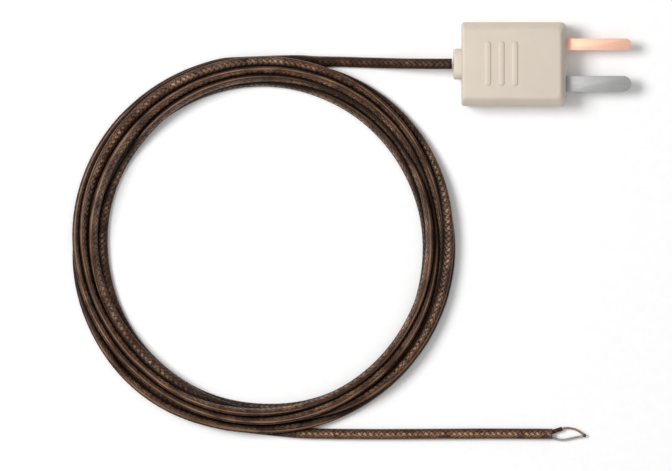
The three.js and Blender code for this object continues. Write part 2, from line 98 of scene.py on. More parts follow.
# Coil: its centre, its inner and outer limits, and each turn set at eight stations. A turn starts at the top
# of the ring and runs anticlockwise. Radii are distances from the centre. Levels are 0 in the lower layer and
# 1 in the upper, and more where a third turn crosses over. Rolls are degrees: 0 lies flat, 90 stands on edge.
COIL_X, COIL_Y = -56.2, -36.35
COIL_INNER, COIL_OUTER = 30.8, 39.1
STATIONS = 8
SAMPLES_PER_TURN = 120
TOP_LEVEL = 2
TURN_RADII = (
    (37.0, 37.75, 37.35, 35.75, 35.2, 34.9, 35.0, 35.5),
    (35.15, 34.5, 34.0, 32.5, 34.0, 37.2, 37.1, 37.8),
    (35.9, 36.5, 37.1, 37.85, 36.8, 37.3, 37.5, 36.4),
    (34.6, 34.7, 34.5, 34.5, 35.5, 35.7, 36.2, 36.9),
    (36.9, 36.6, 35.8, 34.15, 33.6, 33.5, 33.6, 34.1),
    (33.7, 32.8, 32.4, 32.2, 33.1, 34.0, 33.3, 32.8),
    (32.9, 33.7, 35.2, 36.5, 37.0),
)
TURN_LEVELS = (
    (0, 0.6, 1, 1, 1.2, 1.2, 1, 1),
    (1, 1.4, 1.5, 1, 0, 0.9, 0.6, 0.3),
    (0, 0, 0.1, 0.8, 1, 0, 0, 0),
    (0, 0, 0, 0, 0, 0, 0.9, 1),
    (1, 1.4, 1.6, 1.2, 1, 1, 1, 1),
    (1, 1, 0.8, 0, 0, 0, 0, 0.7),
    (0.6, 0.9, 0.9, 0.1, 0),
)
TURN_ROLLS = (
    (40, 75, 75, 75, 75, 70, 70, 70),
    (70, 60, 60, 15, 30, 55, 15, 15),
    (60, 60, 60, 70, 70, 30, 30, 45),
    (75, 60, 50, 40, 60, 75, 70, 75),
    (10, 15, 65, 75, 75, 65, 75, 75),
    (75, 70, 20, 35, 50, 25, 60, 70),
    (70, 30, 10, 20, 25),
)

# Routes of the cable outside the coil, up to where it joins the coil, and of the bare tip. Rolls are degrees.
LEAD_IN_ROUTE = (
    (-18.15, 0.05, 3.9),
    (-20.2, 0.05, 3.9),
    (-22.4, 0.07, 3.78),
    (-24.8, 0.1, 3.38),
    (-27.4, 0.15, 2.72),
    (-30, 0.22, 1.98),
    (-32.6, 0.3, 1.34),
    (-35.2, 0.39, 0.93),
    (-37.8, 0.48, 0.78),
    (-40.7, 0.57, 0.755),
    (-45.5, 0.68, 0.77),
    (-50.5, 0.9, 0.78),
)
TAIL_ROUTE = (
    (-50.2, -74.05, CABLE_Z),
    (-43.2, -74.32, CABLE_Z),
    (-38, -74.38, CABLE_Z),
    (-32, -74.4, CABLE_Z),
    (-26, -74.38, CABLE_Z),
    (-20, -74.34, CABLE_Z),
    (-14, -74.31, CABLE_Z),
    (-8, -74.3, CABLE_Z),
    (-3, -74.32, CABLE_Z),
    (2.1, -74.35, CABLE_Z),
)
LEAD_IN_ROLL = 4
TAIL_ROLL = 24
TIP_SLEEVE_ROUTE = (
    (1.9, -73.98, CABLE_Z),
    (2.4, -73.85, CABLE_Z),
    (3.1, -73.62, CABLE_Z),
    (4.1, -73.3, CABLE_Z),
)
POSITIVE_TIP_ROUTE = (
    (3.9, -73.36, CABLE_Z),
    (4.4, -73.22, CABLE_Z),
    (5.3, -73.14, CABLE_Z),
    (6.6, -73.38, CABLE_Z),
    (7.6, -73.88, CABLE_Z),
    (8.45, -74.5, CABLE_Z),
)
NEGATIVE_TIP_ROUTE = (
    (1.9, -74.95, CABLE_Z),
    (2.4, -75.22, CABLE_Z),
    (3.5, -75.5, CABLE_Z),
    (4.9, -75.44, CABLE_Z),
    (6.5, -75.1, CABLE_Z),
    (8.45, -74.75, CABLE_Z),
)
BEAD_CENTRE = (8.6, -74.65, CABLE_Z)


# ---------------------------------------------------------------- camera and light

VIEW_CENTRE = (-41.4, -34.4)
VIEW_WIDTH = 134.9
VIEW_PLANE = 4.0
LENS = 300.0
SENSOR = 36.0

# In metres: the camera's nearest and furthest reach, and the lights' sizes and places from the view's centre.
NEAREST, FURTHEST = 0.01, 5
KEY_OFFSET = (-0.56, 0.17, 0.8)
KEY_SIZE = 0.45
KEY_WATTS = 7.2
SOFTBOX_OFFSET = (0, 0, 0.8)
SOFTBOX_SIZE = 1.2
SOFTBOX_WATTS = 2.4
SURROUND_STRENGTH = 0.27


def make_camera():
    """Straight down, +Y up, so that the picture shows VIEW_WIDTH millimetres at the height of the blades."""
    data = bpy.data.cameras.new("camera")
    data.lens = LENS
    data.sensor_width = SENSOR
    data.clip_start = NEAREST
    data.clip_end = FURTHEST
    camera = bpy.data.objects.new("camera", data)
    height = VIEW_PLANE + VIEW_WIDTH * LENS / SENSOR
    camera.location = Vector((*VIEW_CENTRE, height)) * MM
    bpy.context.scene.collection.objects.link(camera)
    bpy.context.scene.camera = camera


def make_light(name, offset, size, watts):
    """A round area light, placed beside the view's centre and turned towards it."""
    centre = (VIEW_CENTRE[0] * MM, VIEW_CENTRE[1] * MM, 0)
    place = tuple(start + step for start, step in zip(centre, offset))
    data = bpy.data.lights.new(name, "AREA")
    data.shape = "DISK"
    data.size = size
    data.energy = watts
    light = bpy.data.objects.new(name, data)
    light.location = place
    light.rotation_euler = (Vector(centre) - Vector(place)).to_track_quat("-Z", "Y").to_euler()
    bpy.context.scene.collection.objects.link(light)


def make_studio():
    """An even white surround, a soft key from the left and a large dim softbox overhead."""
    make_light("key", KEY_OFFSET, KEY_SIZE, KEY_WATTS)
    make_light("softbox", SOFTBOX_OFFSET, SOFTBOX_SIZE, SOFTBOX_WATTS)
    world = bpy.data.worlds.new("surround")
    world.use_nodes = True
    background = world.node_tree.nodes["Background"]
    background.inputs["Color"].default_value = (1, 1, 1, 1)
    background.inputs["Strength"].default_value = SURROUND_STRENGTH
    bpy.context.scene.world = world
    bpy.context.scene.view_settings.view_transform = "Standard"


make_camera()
make_studio()


# ---------------------------------------------------------------- curves

SAMPLES_PER_POINT = 40


def catmull_rom(values, at):
    """Values given at stations 0, 1, 2..., read at the places in `at`."""
    v = np.asarray(values, float)
    v = np.concatenate([[2 * v[0] - v[1]], v, [2 * v[-1] - v[-2]]])
    i = np.clip(at.astype(int), 0, len(values) - 2)
    f = (at - i).reshape((-1,) + (1,) * (v.ndim - 1))
    before, start, end, after = v[i], v[i + 1], v[i + 2], v[i + 3]
    bend = 2 * before - 5 * start + 4 * end - after
    return start + 0.5 * f * (end - before + f * (bend + f * (3 * (start - end) + after - before)))


def smooth(values):
    """Moves each inner value towards its neighbours, in place."""
    values[1:-1] = 0.25 * values[:-2] + 0.5 * values[1:-1] + 0.25 * values[2:]


def even_spacing(points, spacing, *also):
    """The points, and any other values along them, read again at even distances."""
    steps = np.linalg.norm(np.diff(points, axis=0), axis=1)
    along = np.concatenate([[0], np.cumsum(steps)])
    count = max(2, int(round(along[-1] / spacing)) + 1)
    at = np.linspace(0, along[-1], count)
    columns = [np.interp(at, along, points[:, k]) for k in range(3)]
    return [np.stack(columns, 1)] + [np.interp(at, along, values) for values in also]


def curve_through(points, spacing):
    """An evenly spaced smooth curve through a few points."""
    points = np.array(points, float)
    at = np.linspace(0, len(points) - 1, SAMPLES_PER_POINT * len(points))
    return even_spacing(catmull_rom(points, at), spacing)[0]


# ---------------------------------------------------------------- the cable's route

# Settling: in each round the turns sink by FALL, go back by the share HOLD to their own radius, and part by
# the share SHIFT of what they overlap. They may press together until the share PRESS of their size is left.
# Two turns cross where their centrelines are less than CROSSING_SHARE of their widths apart.
SETTLING_ROUNDS = 300
STILL_ROUNDS = 30
SMOOTH_EVERY = 3
LAST_SMOOTHINGS = 24
FALL = 0.015
HOLD = 0.05
SHIFT = 0.4
PRESS = 0.95
LAYER_STEP = 1.9
CROSSING_SHARE = 0.5
LEAST_NEARNESS = 0.05
MOST_PUSH = 0.5

# Joins: the points dropped at each end of the coil, then how many on either side are smoothed, and how often.
JOIN_TRIM = 4
JOIN_REACH = 12
JOIN_SMOOTHINGS = 3


def oval_section(width, thickness, waist=0.0):
    """Points round a flat oval. Its flat faces dip by `waist` in the middle."""
    points = []
    for i in range(SECTION_POINTS):
        angle = 2 * math.pi * i / SECTION_POINTS
        c, s = math.cos(angle), math.sin(angle)
        across = math.copysign(abs(c) ** SECTION_POWERS[0], c) * width / 2
        up = math.copysign(abs(s) ** SECTION_POWERS[1], s) * thickness / 2
        dip = waist * math.exp(-((across / WAIST_WIDTH) ** 2))
        on_a_face = abs(s) > FACES_FROM
        points.append((across, up - math.copysign(dip, s) if on_a_face else up))
    return points


def half_extents(roll):
    """The half width and half height that the cable takes up when it is rolled by each angle."""
    section = np.array(oval_section(CABLE_WIDTH, CABLE_THICKNESS))
    wide = np.outer(np.cos(roll), section[:, 0]) - np.outer(np.sin(roll), section[:, 1])
    high = np.outer(np.sin(roll), section[:, 0]) + np.outer(np.cos(roll), section[:, 1])
    return wide.max(1), high.max(1)


def push_apart(r, z, a, b, upper):
    """Moves each turn out of the turns it lies in: sideways and up or down, but up or down only where two
    cross, and there the upper one stays above. r and z are the turns' radii and heights, changed in place,
    and a and b their half widths and half heights. upper says which of two turns so many apart is above."""
    for turns, sign in upper.items():
        step = turns * SAMPLES_PER_TURN
        wide = (a[step:] + a[:-step]) * PRESS
        high = (b[step:] + b[:-step]) * PRESS
        dr = r[step:] - r[:-step]
        dz = z[step:] - z[:-step]
        crossing = np.abs(dr) < CROSSING_SHARE * wide
        lack = np.sqrt(np.clip(1 - (dr / wide) ** 2, 0, 1)) * high - sign * dz
        lift = np.where(crossing & (lack > 0), SHIFT * lack * sign, 0)
        z[step:] += lift
        z[:-step] -= lift
        dz = z[step:] - z[:-step]
        nearness = np.maximum(np.hypot(dr / wide, dz / high), LEAST_NEARNESS)
        push = np.where(crossing, 0, SHIFT * np.clip(1 / nearness - 1, 0, MOST_PUSH))
        r[step:] += push * dr
        r[:-step] -= push * dr
        z[step:] += push * dz
        z[:-step] -= push * dz
        np.maximum(z, b + FLOOR_GAP, out=z)


def coil_route():
    """Centreline and roll of the coiled part: the stations' values, settled under gravity into each other."""
    radii = [value for turn in TURN_RADII for value in turn]
    levels = [value for turn in TURN_LEVELS for value in turn]
    rolls = [value for turn in TURN_ROLLS for value in turn]
    count = (len(radii) - 1) * SAMPLES_PER_TURN // STATIONS + 1
    at = np.arange(count) * STATIONS / SAMPLES_PER_TURN
    wanted = catmull_rom(radii, at)
    level = np.clip(catmull_rom(levels, at), 0, TOP_LEVEL)
    roll = np.radians(catmull_rom(rolls, at))
    r, z = settle(wanted, level, roll)
    angle = math.pi / 2 + at * 2 * math.pi / STATIONS
    points = np.stack([COIL_X + r * np.cos(angle), COIL_Y + r * np.sin(angle), z], 1)
    return points, roll


def settle(wanted, level, roll):
    """Radii and heights of the turns after they have sunk onto the floor and each other."""
    a, b = half_extents(roll)
    r = wanted.copy()
    z = b + FLOOR_GAP + level * LAYER_STEP
    upper = {}
    for turns in range(1, len(TURN_RADII)):
        step = turns * SAMPLES_PER_TURN
        upper[turns] = np.sign(level[step:] - level[:-step])
    for settling in range(SETTLING_ROUNDS):
        z -= FALL
        r += HOLD * (wanted - r)
        push_apart(r, z, a, b, upper)
        r = np.clip(r, COIL_INNER + a, COIL_OUTER - a)
        if settling % SMOOTH_EVERY == 0 and settling < SETTLING_ROUNDS - STILL_ROUNDS:
            smooth(r)
            smooth(z)
    for _ in range(LAST_SMOOTHINGS):
        smooth(r)
        smooth(z)
    return r, z


def cable_route():
    """Centreline and roll of the whole cable, from the collar to the cut end, evenly spaced."""
    coil, coil_roll = coil_route()
    coil, coil_roll = coil[JOIN_TRIM:-JOIN_TRIM], coil_roll[JOIN_TRIM:-JOIN_TRIM]
    lead = curve_through([*LEAD_IN_ROUTE, coil[0]], POINT_SPACING)
    tail = curve_through([coil[-1], *TAIL_ROUTE], POINT_SPACING)
    lead_roll = np.linspace(math.radians(LEAD_IN_ROLL), coil_roll[0], len(lead))
    tail_roll = np.full(len(tail), math.radians(TAIL_ROLL))
    points = np.concatenate([lead[:-1], coil, tail[1:]])
    roll = np.concatenate([lead_roll[:-1], coil_roll, tail_roll[1:]])
    for _ in range(JOIN_SMOOTHINGS):
        for join in (len(lead), len(points) - len(tail)):
            smooth(points[join - JOIN_REACH:join + JOIN_REACH])
    points, roll = even_spacing(points, POINT_SPACING, roll)
    points[:, 2] = np.maximum(points[:, 2], half_extents(roll)[1] + LEAST_FLOOR_GAP)
    return points, roll


# ---------------------------------------------------------------- meshes

# How far beyond a tube's end the map "route" puts the middle of that end.
END_REACH = 1


def add_object(name, mesh, replaced=()):
    """Links a piece, rides it on the one body and hides the CAD nodes that it replaces."""
    piece = bpy.data.objects.new(name, mesh)
    bpy.context.scene.collection.objects.link(piece)
    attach(piece, "root")
    for node in replaced:
        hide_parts(node)
    return piece


def side_and_up(path):
    """At each point of the path, two unit vectors square to it: a level one to its side, and one upwards."""
    ahead = np.gradient(path, axis=0)
    ahead /= np.linalg.norm(ahead, axis=1)[:, None]
    side = np.cross(ahead, (0, 0, 1))
    side /= np.linalg.norm(side, axis=1)[:, None]
    return side, np.cross(side, ahead)


def tube_faces(count, ring):
    """Four-sided faces of a tube of `count` rings, then triangles to a point in the middle of each end."""
    faces = []
    for i in range(count - 1):
        for k in range(ring):
            n = (k + 1) % ring
            faces.append((i * ring + k, (i + 1) * ring + k, (i + 1) * ring + n, i * ring + n))
    last = (count - 1) * ring
    first_end, last_end = count * ring, count * ring + 1
    for k in range(ring):
        n = (k + 1) % ring
        faces.append((first_end, k, n))
        faces.append((last_end, last + n, last + k))
    return faces


def route_corners(path, ring):
    """The map "route" at each corner of those faces: millimetres along the path, and how far round, from 0 to
    1."""
    steps = np.linalg.norm(np.diff(path, axis=0), axis=1)
    along = np.concatenate([[0], np.cumsum(steps)])
    corners = []
    for i in range(len(path) - 1):
        for k in range(ring):
            low, high = k / ring, (k + 1) / ring
            corners += [(along[i], low), (along[i + 1], low), (along[i + 1], high), (along[i], high)]
    for k in range(ring):
        low, high = k / ring, (k + 1) / ring
        corners += [(along[0] - END_REACH, low), (along[0], low), (along[0], high)]
        corners += [(along[-1] + END_REACH, low), (along[-1], high), (along[-1], low)]
    return np.array(corners, float)


def tube_mesh(name, path, section, roll=None, scale=None):
    """A closed tube of the section along a path in millimetres, with its ends flat and a map "route"."""
    side, up = side_and_up(path)
    count, ring = len(path), len(section)
    roll = np.zeros(count) if roll is None else roll
    scale = np.ones(count) if scale is None else scale
    cos, sin = np.cos(roll)[:, None], np.sin(roll)[:, None]
    broad = side * cos + up * sin
    thin = up * cos - side * sin
    vertices = np.zeros((count, ring, 3))
    for k, (across, rise) in enumerate(section):
        vertices[:, k] = path + (broad * across + thin * rise) * scale[:, None]
    ends = np.stack([path[0], path[-1]])
    vertices = np.concatenate([vertices.reshape(-1, 3), ends]) * MM
    faces = tube_faces(count, ring)
    mesh = bpy.data.meshes.new(name)
    mesh.from_pydata(vertices.tolist(), [], faces)
    layer = mesh.uv_layers.new(name="route")
    layer.data.foreach_set("uv", route_corners(path, ring).ravel())
    mesh.polygons.foreach_set("use_smooth", [True] * (len(faces) - 2 * ring) + [False] * 2 * ring)
    mesh.update()
    return mesh


def mark_crevice_shade(mesh, path, ring):
    """Stores on each corner point how deep it lies between other turns, from 0 to 1, as "crevice_shade": the
    share of painted shade that the cable's colour takes there.
    """
    tree = KDTree(len(path))
    for i, point in enumerate(path):
        tree.insert(point, i)
    tree.balance()
    own = int(OWN_STRETCH / POINT_SPACING)
    depths = []
    for k, vertex in enumerate(mesh.vertices):
        place = vertex.co / MM
        depth = 0.0
        for other, i, distance in tree.find_range(place, CREVICE_SHADE_FAR + OVERHEAD_SHADE_REACH):
            if abs(i - k // ring) > own:
                overhead = min(max(other.z - place.z, 0), OVERHEAD_SHADE_REACH)
                reach = CREVICE_SHADE_FAR + overhead
                depth = max(depth, (reach - distance) / (reach - CREVICE_SHADE_NEAR))
        depths.append(min(depth, 1.0))
    layer = mesh.attributes.new("crevice_shade", "FLOAT", "POINT")
    layer.data.foreach_set("value", depths)


# ---------------------------------------------------------------- materials

# Tones of a braid: between its ribbons, which is also the colour of painted shade; of the ribbons; and of
# their worn parts, which is also the colour of painted highlights.
BROWN_TONES = ((0.005, 0.002, 0.001), (0.0415, 0.017, 0.0088), (0.48, 0.27, 0.165))
SLEEVE_TONES = ((0.006, 0.002, 0.001), (0.045, 0.017, 0.011), (0.20, 0.11, 0.08))
WHITE_TONES = ((0.3, 0.28, 0.25), (0.70, 0.67, 0.60), (0.85, 0.83, 0.78))
CUT_GREY = (0.13, 0.11, 0.095)
LACQUER_IOR = 1.25

# Height of the finest surface relief.
FIBRE_DEPTH = 0.03
SPARK_DEPTH = 0.02
SCRATCH_DEPTH = 0.01
PIT_DEPTH = 0.008


def dimmed(color, share):
    """A colour with only a share of its light."""
    return tuple(share * part for part in color)


class Shader:
    """A procedural material, built node by node around its Principled BSDF."""

    def __init__(self, name):
        self.material = bpy.data.materials.new(name)
        self.material.use_nodes = True
        self.tree = self.material.node_tree
        self.surface = self.tree.nodes["Principled BSDF"]

    def set(self, name, value):
        """Gives a socket of the surface one value all over."""
        self.surface.inputs[name].default_value = value

    def wire(self, source, target):
        """Feeds a socket from another socket, or sets it to a plain value."""
        if isinstance(source, bpy.types.NodeSocket):
            self.tree.links.new(source, target)
        else:
            target.default_value = source

    def math(self, operation, first, second=0.0):
        """One sum on sockets or numbers."""
        node = self.tree.nodes.new("ShaderNodeMath")
        node.operation = operation
        self.wire(first, node.inputs[0])
        self.wire(second, node.inputs[1])
        return node.outputs[0]

    def product(self, first, *factors):
        """The first value times all the others."""
        for factor in factors:
            first = self.math("MULTIPLY", first, factor)
        return first

    def place(self):
        """Position in the object's own frame, in millimetres."""
        node = self.tree.nodes.new("ShaderNodeTexCoord")
        scale = self.tree.nodes.new("ShaderNodeVectorMath")
        scale.operation = "SCALE"
        scale.inputs["Scale"].default_value = 1 / MM
        self.tree.links.new(node.outputs["Object"], scale.inputs[0])
        return scale.outputs[0]

    def attribute(self, name):
        """A value stored on the mesh; it reads as 0 on meshes that don't have it."""
        node = self.tree.nodes.new("ShaderNodeAttribute")
        node.attribute_name = name
        return node.outputs["Fac"]

    def stretched(self, vector, factors):
        """A place with each of its parts multiplied by a factor."""
        node = self.tree.nodes.new("ShaderNodeVectorMath")
        node.operation = "MULTIPLY"
        self.tree.links.new(vector, node.inputs[0])
        node.inputs[1].default_value = factors
        return node.outputs[0]

    def noise(self, vector, scale, detail=2.0, roughness=0.5):
        """Smooth noise round 0.5 at a place."""
        node = self.tree.nodes.new("ShaderNodeTexNoise")
        self.tree.links.new(vector, node.inputs["Vector"])
        node.inputs["Scale"].default_value = scale
        node.inputs["Detail"].default_value = detail
        node.inputs["Roughness"].default_value = roughness
        return node.outputs["Fac"]

    def spread(self, value, low, high, to_low=0.0, to_high=1.0):
        """A value's range low to high, stretched to another range and clamped to it."""
        node = self.tree.nodes.new("ShaderNodeMapRange")
        self.wire(value, node.inputs["Value"])
        for name, number in (("From Min", low), ("From Max", high), ("To Min", to_low), ("To Max", to_high)):
            node.inputs[name].default_value = number
        return node.outputs["Result"]

    def blend(self, share, first, second):
        """Two colours mixed: share 0 gives the first and 1 the second. The node has sockets of every kind,
        and its colours are inputs 6 and 7 and output 2."""
        node = self.tree.nodes.new("ShaderNodeMix")
        node.data_type = "RGBA"
        self.wire(share, node.inputs["Factor"])
        for source, target in ((first, node.inputs[6]), (second, node.inputs[7])):
            self.wire(source if isinstance(source, bpy.types.NodeSocket) else (*source, 1), target)
        return node.outputs[2]

    def bump(self, height, depth, strength=1.0, after=None):
        """A bump whose height value of 1 is `depth` metres."""
        node = self.tree.nodes.new("ShaderNodeBump")
        node.inputs["Distance"].default_value = depth
        node.inputs["Strength"].default_value = strength
        self.wire(height, node.inputs["Height"])
        if after is not None:
            self.tree.links.new(after, node.inputs["Normal"])
        return node.outputs["Normal"]

    def finish(self, color, roughness=None, normal=None):
        """Feeds the surface and returns the material."""
        self.wire(color, self.surface.inputs["Base Color"])
        if roughness is not None:
            self.wire(roughness, self.surface.inputs["Roughness"])
        if normal is not None:
            self.tree.links.new(normal, self.surface.inputs["Normal"])
        return self.material


class BraidShader(Shader):
    """A shader with the pattern of a one-over-one braid, laid on the map "route"."""

    def __init__(self, name, pitch, strands):
        super().__init__(name)
        route = self.tree.nodes.new("ShaderNodeUVMap")
        route.uv_map = "route"
        parts = self.tree.nodes.new("ShaderNodeSeparateXYZ")
        self.tree.links.new(route.outputs[0], parts.inputs[0])
        self.route = route.outputs[0]
        self.along, self.around = parts.outputs[0], parts.outputs[1]
        self.height, self.leading = self.ribbons(pitch, strands)
        self.turned = self.math("MULTIPLY", self.around, 2 * math.pi)
        self.face = self.math("ABSOLUTE", self.math("SINE", self.turned))
        self.on_face = self.spread(self.face, 0.4, 0.8, 0.12, 1.0)
        self.patchy = self.noise(self.stretched(self.route, (0.16, 0.0, 1.0)), scale=1.0)

    def ridge(self, phase):
        """One rounded ridge for each whole step of the phase."""
        return self.math("ABSOLUTE", self.math("SINE", self.math("MULTIPLY", phase, math.pi)))

    def ribbons(self, pitch, strands):
        """The ribbons' height, and 1 where the leading ribbon is on top."""
        steps = self.math("DIVIDE", self.along, pitch)
        lean = self.math("MULTIPLY", self.around, strands)
        forward = self.math("ADD", steps, lean)
        back = self.math("SUBTRACT", steps, lean)
        cells = self.math("ADD", self.math("FLOOR", forward), self.math("FLOOR", back))
        leading = self.math("FLOORED_MODULO", cells, 2.0)
        first = self.math("MULTIPLY", self.ridge(forward), leading)
        second = self.math("MULTIPLY", self.ridge(back), self.math("SUBTRACT", 1.0, leading))
        return self.math("POWER", self.math("ADD", first, second), 0.6), leading

    def body(self, base):
        """The ribbons' own colour, drifting darker and redder from place to place."""
        place = self.place()
        drift = self.noise(place, scale=0.16, detail=3.0, roughness=0.6)
        warm = self.noise(place, scale=0.55)
        redder = (base[0] * 1.25, base[1] * 0.85, base[2] * 0.8)
        color = self.blend(self.spread(drift, 0.35, 0.65), base, dimmed(base, 0.6))
        return self.blend(self.spread(warm, 0.5, 0.8, 0, 0.5), color, redder)

    def wear_and_highlight(self, cut_at):
        """How light the ribbons are painted, as wear and painted highlight: on their crests, on the leading
        ribbon and on one side of the flat faces, and in patches.
        """
        speckle = self.noise(self.place(), scale=0.9, detail=3.0, roughness=0.75)
        shown = self.spread(self.patchy, 0.42, 0.58, 0.3, 1.0)
        if cut_at is not None:
            worn_and_lit_from = cut_at - WORN_AND_LIT_END_LENGTH
            shown = self.math("MAXIMUM", shown, self.spread(self.along, worn_and_lit_from - WORN_AND_LIT_END_FADE, worn_and_lit_from))
        # Painted highlight with wear: brighter on crests, on the leading ribbon and on one side of the flat
        # faces.
        return self.product(
            self.math("POWER", self.height, 1.6),
            self.on_face,
            self.spread(self.leading, 0, 1, 0.55, 1.0),
            self.spread(speckle, 0.36, 0.56, 0.08, 1.0),
            self.spread(self.math("COSINE", self.turned), -0.45, 0.1, 0.15, 1.0),
            self.spread(self.along, LEAD_IN_LENGTH, 1.6 * LEAD_IN_LENGTH, 0.3, 1.0),
            shown,
        )

    def edge_highlight(self):
        """Painted highlight: fine light lines along the narrow edges, and on their crests in patches."""
        streak = self.noise(self.stretched(self.route, (0.12, 15.0, 1.0)), scale=1.0)
        line = self.product(self.spread(self.face, 0.1, 0.6, 0.5, 0.0), self.spread(streak, 0.53, 0.63))
        crest = self.product(
            self.spread(self.face, 0.05, 0.22, 0.62, 0.0),
            self.spread(self.patchy, 0.35, 0.6, 0.1, 1.0),
        )
        return self.math("MAXIMUM", line, crest)


def braid_material(name, tones, pitch, strands, depth, cut_at=None):
    """Glass-fibre braid under lacquer. Its ribbons show on the flat faces, and its narrow edges are nearly
    smooth. The tones are those between the ribbons, of the ribbons, and of their worn parts. The dark tone is
    also painted as shade between the ribbons and between the cable's turns, and the light one as highlight on
    the ribbons and narrow edges. Beyond cut_at millimetres along the route the braid is greyer."""
    dark, base, light = tones
    braid = BraidShader(name, pitch, strands)
    fibre = braid.noise(braid.stretched(braid.route, (1.4, 60.0, 1.0)), scale=1.0, detail=3.0, roughness=0.65)
    crevice_shade = braid.attribute("crevice_shade")
    # Painted shade in the recesses between the ribbons, over the braid's own dark pattern there.
    gap_and_shade = braid.product(braid.spread(braid.height, 0.05, 0.7, 1.0, 0.0), braid.on_face)
    color = braid.blend(gap_and_shade, braid.body(base), dark)
    # Painted highlights on crests and narrow edges, mixed with the braid's wear.
    color = braid.blend(braid.math("MAXIMUM", braid.wear_and_highlight(cut_at), braid.edge_highlight()), color, light)
    color = braid.blend(braid.spread(fibre, 0.5, 0.75, 0.0, 0.5), color, dark)
    # Painted shade between the cable's turns, deepest where they lie close and under one another.
    color = braid.blend(braid.spread(crevice_shade, 0.1, 0.9, 0.0, 0.96), color, dark)
    if cut_at is not None:
        greyer = braid.spread(braid.along, cut_at, cut_at + GREY_END_FADE, 0, 0.3)
        color = braid.blend(greyer, color, CUT_GREY)
    relief = braid.product(braid.height, braid.on_face)
    normal = braid.bump(relief, depth * MM, after=braid.bump(fibre, FIBRE_DEPTH * MM, 0.5))
    lacquer = braid.spread(fibre, 0.3, 0.7, 0.24, 0.40)
    dull = braid.spread(crevice_shade, 0.2, 0.8, 0, 0.8)
    braid.set("IOR", LACQUER_IOR)
    return braid.finish(color, braid.math("MAXIMUM", lacquer, dull), normal)


def plastic_material(name, base):
    """Matte moulded plastic: fine spark texture, faint cloudiness and slightly darker specks."""
    shader = Shader(name)
    place = shader.place()
    cloud = shader.noise(place, scale=0.22, detail=3.0, roughness=0.55)
    fine = shader.noise(place, scale=7.0, detail=3.0, roughness=0.7)
    color = shader.blend(shader.spread(cloud, 0.3, 0.7), base, dimmed(base, 0.955))
    color = shader.blend(shader.spread(fine, 0.62, 0.8, 0, 0.10), color, dimmed(base, 0.7))
    normal = shader.bump(fine, SPARK_DEPTH * MM, 0.7)
    return shader.finish(color, shader.spread(fine, 0.35, 0.65, 0.42, 0.56), normal)


def metal_material(name, base, tarnish, roughness, stretch=(0.25, 6.0, 6.0), fine=1.6):
    """Drawn or stamped metal: lines along the working direction, faint tarnish and small pits."""
    shader = Shader(name)
    place = shader.place()
    lines = shader.noise(shader.stretched(place, stretch), fine, detail=3.0, roughness=0.6)
    stain = shader.noise(place, scale=0.45, detail=3.0, roughness=0.6)
    pits = shader.noise(place, scale=9.0, roughness=0.6)
    color = shader.blend(shader.spread(stain, 0.4, 0.75, 0, 0.65), base, tarnish)
    color = shader.blend(shader.spread(lines, 0.45, 0.8, 0, 0.35), color, dimmed(base, 0.6))
    normal = shader.bump(lines, SCRATCH_DEPTH * MM, 0.5)
    normal = shader.bump(pits, PIT_DEPTH * MM, 0.4, normal)
    shader.set("Metallic", 1.0)
    return shader.finish(color, shader.spread(lines, 0.3, 0.7, roughness - 0.06, roughness + 0.1), normal)


PLUG_PLASTIC = plastic_material("plug_plastic", (0.665, 0.58, 0.485))
COLLAR_PLASTIC = plastic_material("collar_plastic", (0.655, 0.58, 0.495))
COPPER = metal_material("copper", (0.90, 0.555, 0.41), (0.86, 0.51, 0.37), 0.45)
NICKEL = metal_material("copper_nickel", (0.40, 0.40, 0.398), (0.365, 0.365, 0.362), 0.45)
COPPER_WIRE = metal_material("copper_wire", (0.42, 0.27, 0.20), (0.16, 0.09, 0.07), 0.4, fine=3.0)
NICKEL_WIRE = metal_material("copper_nickel_wire", (0.50, 0.48, 0.46), (0.25, 0.23, 0.22), 0.4, fine=3.0)
WELD = metal_material("weld_oxide", (0.07, 0.06, 0.055), (0.02, 0.017, 0.015), 0.45, (1, 1, 1), 5.0)
BRASS = metal_material("ferrule_brass", (0.72, 0.50, 0.20), (0.50, 0.31, 0.10), 0.33)
STEEL = metal_material("screw_steel", (0.56, 0.56, 0.57), (0.42, 0.41, 0.40), 0.32, (1, 1, 1), 3.0)
SLEEVE_BRAID = braid_material("positive_core_braid", SLEEVE_TONES, pitch=0.8, strands=5, depth=0.06)
WHITE_BRAID = braid_material("negative_core_braid", WHITE_TONES, pitch=0.8, strands=5, depth=0.06)


# ---------------------------------------------------------------- cable and tip

def thickness_wobble(count):
    """A scale near 1 for each point of the cable, wandering slowly."""
    wobble = np.random.default_rng(WOBBLE_SEED).normal(0, 1, count)
    for _ in range(WOBBLE_SMOOTHINGS):
        smooth(wobble)
    return 1 + WOBBLE_SHARE * wobble / np.abs(wobble).max()


def make_cable():
    """The whole cable as one braided tube, with its path and its length in millimetres."""
    path, roll = cable_route()
    length = np.linalg.norm(np.diff(path, axis=0), axis=1).sum()
    section = oval_section(CABLE_WIDTH, CABLE_THICKNESS, WAIST_DEPTH)
    mesh = tube_mesh("cable", path, section, roll, thickness_wobble(len(path)))
    mark_crevice_shade(mesh, path, len(section))
    braid = braid_material(
        "cable_braid", BROWN_TONES, pitch=1.12, strands=7, depth=0.12, cut_at=length - GREY_END_LENGTH)
    mesh.materials.append(braid)
    piece = add_object("cable", mesh, ("lead_in_cable", "cable_coil", "cable_tail"))
    return piece, path, length


def make_tip_tube(name, route, spacing, section, material, node):
    """One piece of the tip, as a tube that takes the place of a CAD node."""
    mesh = tube_mesh(name, curve_through(route, spacing), section)
    mesh.materials.append(material)
    return add_object(name, mesh, (node,))


